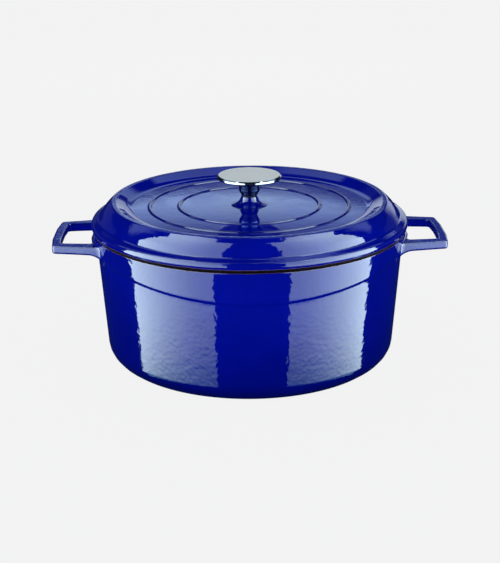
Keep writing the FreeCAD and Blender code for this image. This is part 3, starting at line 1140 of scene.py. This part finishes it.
@dataclass
class SoftBox:
    """Tall curved light panel beside the oven, seen only in its reflections.

    Both edges bend, so that each is given as pairs of height in metres and degrees from the front. It
    glows most at its outer side and about the height that the lid's lip mirrors, and fades to its foot.
    """

    name: str
    side: int
    inner: tuple[tuple[float, float], ...]
    outer: tuple[tuple[float, float], ...]
    foot: float = -1.15
    head: float = 4.2
    radius: float = 1.5
    glow: tuple[float, float] = (2.6, 7.2)
    tint: str = "#E1FAFF"
    tint_low: str = "#A6E6FF"

    def build(self) -> None:
        """Place the panel on a cylinder round the oven and light it, brighter at its outer side."""
        up = np.linspace(0, 1, 120)[:, None]
        across = np.linspace(0, 1, 40)[None, :]
        z = self.foot + (self.head - self.foot) * up
        inner = np.interp(z, *zip(*self.inner))
        outer = np.interp(z, *zip(*self.outer))
        turn = np.radians(inner + (outer - inner) * across) * self.side
        sideways, backwards = self.radius * np.sin(turn), -self.radius * np.cos(turn)
        points = np.stack(np.broadcast_arrays(sideways, backwards, z), -1)
        material = bpy.data.materials.new(self.name)
        material.use_nodes = True
        tree = material.node_tree
        tree.nodes.clear()
        uv = add(tree, "SeparateXYZ", {0: add(tree, "TexCoord").outputs["UV"]})
        place = add(tree, "SeparateXYZ", {0: add(tree, "TexCoord").outputs["Object"]})
        high = place.outputs[2]
        raised = ranged(tree, high, (-0.92, -0.70), (0, 1))
        tint = blended(tree, raised, linear(self.tint_low), linear(self.tint))
        power = product(
            tree,
            ranged(tree, uv.outputs[1], (0.0, 1.0), self.glow),
            ranged(tree, high, (-0.95, -0.58), (0.25, 1.2)),
            ranged(tree, high, (-0.52, -0.30), (1.0, 1.5)),
            ranged(tree, high, (0.5, 1.4), (1.0, 0.62)),
        )
        glow = add(tree, "Emission", {"Color": tint, "Strength": power})
        add(tree, "OutputMaterial", {"Surface": glow.outputs[0]})
        stage_mesh(self.name, points, material, Sees.REFLECTIONS)


@dataclass
class Studio:
    """Pale floor, soft light from all round, tall side panels and the camera."""

    floor_size: float = 9.0
    camera_distance: float = 1.2
    camera_elevation: float = 18.89
    camera_turn: float = -1.03
    camera_roll: float = -0.45
    aim_z: float = 0.0671
    view_angle: float = 25.03

    def build(self) -> None:
        """Make the stage, the lights and the camera."""
        self.floor()
        self.world()
        self.lights()
        self.camera()
        view = bpy.context.scene.view_settings
        view.view_transform = "Standard"
        view.look = "None"

    def floor(self) -> None:
        """Pale paper sheet with an even glow of its own for the camera; the glow that diffuse rays meet holds
        a painted contact shadow round the pot; from below one sees through it.
        """
        material = bpy.data.materials.new("floor_paper")
        material.use_nodes = True
        tree = material.node_tree
        shader = tree.nodes["Principled BSDF"]
        radius = add(tree, "VectorMath", {0: add(tree, "TexCoord").outputs["Object"]}, operation="LENGTH")
        radius = radius.outputs["Value"]
        # painted contact shadow: for diffuse rays the glow is dark within 0.17 m of the axis and full past
        # 0.34 m, which shades the pot's lower wall
        painted_shadow_bounce = ranged(tree, radius, (0.17, 0.34), (0.02, 1.1))
        seen = add(tree, "LightPath").outputs["Is Camera Ray"]
        power = add(tree, "Mix", {"Factor": seen, "A": painted_shadow_bounce, "B": 0.875}, data_type="FLOAT")
        feed(tree, shader, {
            "Base Color": (0.03, 0.03, 0.03, 1), "Roughness": 1.0, "Specular IOR Level": 0.0,
            "Emission Color": (1, 1, 1, 1), "Emission Strength": power.outputs["Result"],
        })
        below = add(tree, "NewGeometry").outputs["Backfacing"]
        clear = add(tree, "BsdfTransparent").outputs[0]
        both = add(tree, "MixShader", {0: below, 1: shader.outputs[0], 2: clear})
        tree.links.new(both.outputs[0], tree.nodes["Material Output"].inputs["Surface"])
        x, y = np.meshgrid(*[(-self.floor_size, self.floor_size)] * 2)
        stage_mesh("floor", np.stack([x, y, np.zeros_like(x)], -1), material, Sees.CAMERA)

    def world(self) -> None:
        """Even soft light, with a pale backdrop that only mirrored rays see, dark elsewhere.

        Behind the oven the backdrop has a low band, a dim gap, a bright arched line and an upper band, and
        near the zenith two side patches. Heights are sines of the elevation, and turns go from the back.
        """
        world = bpy.data.worlds.new("studio")
        bpy.context.scene.world = world
        world.use_nodes = True
        tree = world.node_tree
        tree.nodes.clear()
        way = add(tree, "SeparateXYZ", {0: add(tree, "TexCoord").outputs["Generated"]})
        up = way.outputs[2]
        turn = add(tree, "Math", {0: way.outputs[0], 1: way.outputs[1]}, operation="ARCTAN2").outputs[0]
        apart = add(tree, "Math", {0: turn}, operation="ABSOLUTE").outputs[0]
        arched = summed(tree, up, product(tree, apart, apart), -0.9)
        steps = (
            (up, (-0.06, 0.02), (0.0, 1.1)),
            (up, (0.233, 0.242), (1.0, 0.14)),
            (arched, (0.2548, 0.2588), (1.0, 11.0)),
            (up, (0.254, 0.292), (1.0, 0.07)),
            (up, (0.305, 0.345), (1.0, 6.5)),
            (up, (0.44, 0.54), (1.0, 0.0)),
            (turn, np.radians((-13.0, -7.0)), (0.05, 1.0)),
            (turn, np.radians((26.0, 40.0)), (1.0, 0.05)),
        )
        low = product(tree, *[ranged(tree, *step) for step in steps])
        sides = summed(
            tree,
            ranged(tree, turn, np.radians((-2.0, 6.0)), (0.12, 1.0)),
            ranged(tree, turn, np.radians((-35.0, -22.0)), (0.85, 0.0)),
        )
        overhead = ranged(tree, summed(tree, up, apart, 0.43), (0.91, 0.97), (0.0, 0.95))
        high = product(tree, overhead, ranged(tree, apart, np.radians((62.0, 74.0)), (1.0, 0.0)), sides)
        backdrop = summed(tree, low, high)
        bluer = ranged(tree, up, (0.244, 0.256), (0, 1))
        sheet = blended(tree, bluer, (0.80, 0.92, 1.04, 1), (0.64, 0.90, 1.34, 1))
        mirrored = blended(tree, backdrop, (0.006, 0.012, 0.03, 1), sheet)
        above = ranged(tree, up, (-1.0, 0.2), (0, 1))
        soft = blended(tree, above, (0.10, 0.10, 0.12, 1), (0.50, 0.52, 0.56, 1))
        path = add(tree, "LightPath")
        colour = blended(tree, path.outputs["Is Glossy Ray"], soft, mirrored)
        colour = blended(tree, path.outputs["Is Camera Ray"], colour, (0.9, 0.9, 0.9, 1))
        glow = add(tree, "Background", {"Color": colour})
        add(tree, "OutputWorld", {"Surface": glow.outputs[0]})

    def lights(self) -> None:
        """Side panels for the reflections, and area lights that shape the colour without showing."""
        left = ((-1.15, 27.0), (-0.55, 27.0), (-0.2, 16.0), (0.8, 17.0), (1.5, 24.0), (4.2, 24.0))
        right = ((-1.15, 28.0), (-0.55, 28.0), (-0.2, 19.0), (0.8, 24.0), (1.5, 26.0), (4.2, 26.0))
        outer = ((-1.15, 96.0), (1.6, 94.0), (3.0, 100.0), (4.2, 112.0))
        SoftBox("left_panel", -1, left, outer).build()
        SoftBox("right_panel", 1, right, outer).build()
        for name, place, size, power in (
            ("key", (-0.9, -1.7, 0.62), 0.7, 3.0),
            ("fill", (0.9, -1.7, 0.62), 0.7, 3.0),
            ("back_fill", (0.0, 1.8, 0.9), 0.9, 3.0),
        ):
            light = bpy.data.lights.new(name, "AREA")
            light.size, light.energy = size, power
            lamp = placed(name, light)
            lamp.location = place
            lamp.rotation_euler = (Vector((0, 0, 0.08)) - Vector(place)).to_track_quat("-Z", "Y").to_euler()
            lamp.visible_glossy = False

    def camera(self) -> None:
        """Long lens a little above the rim, turned and rolled slightly."""
        data = bpy.data.cameras.new("camera")
        data.sensor_fit = "VERTICAL"
        data.angle_y = math.radians(self.view_angle)
        data.clip_start, data.clip_end = 0.05, 60
        eye = placed("camera", data)
        elevation = math.radians(self.camera_elevation)
        turn = Matrix.Rotation(math.radians(self.camera_turn), 4, "Z")
        back = Vector((0, -math.cos(elevation), math.sin(elevation))) * self.camera_distance
        aim = Vector((0, 0, self.aim_z))
        tilt = Matrix.Rotation(math.pi / 2 - elevation, 4, "X")
        roll = Matrix.Rotation(math.radians(self.camera_roll), 4, "Z")
        eye.matrix_world = turn @ Matrix.Translation(aim + back) @ tilt @ roll
        bpy.context.scene.camera = eye


def main() -> None:
    """Build the oven and its studio, and write how large they are."""
    logging.basicConfig(level=logging.INFO, format="%(name)s %(message)s")
    Studio().build()
    Pot().build()
    Lid().build()
    Knob().build()
    bpy.context.view_layer.update()


if __name__ == "__main__":
    main()
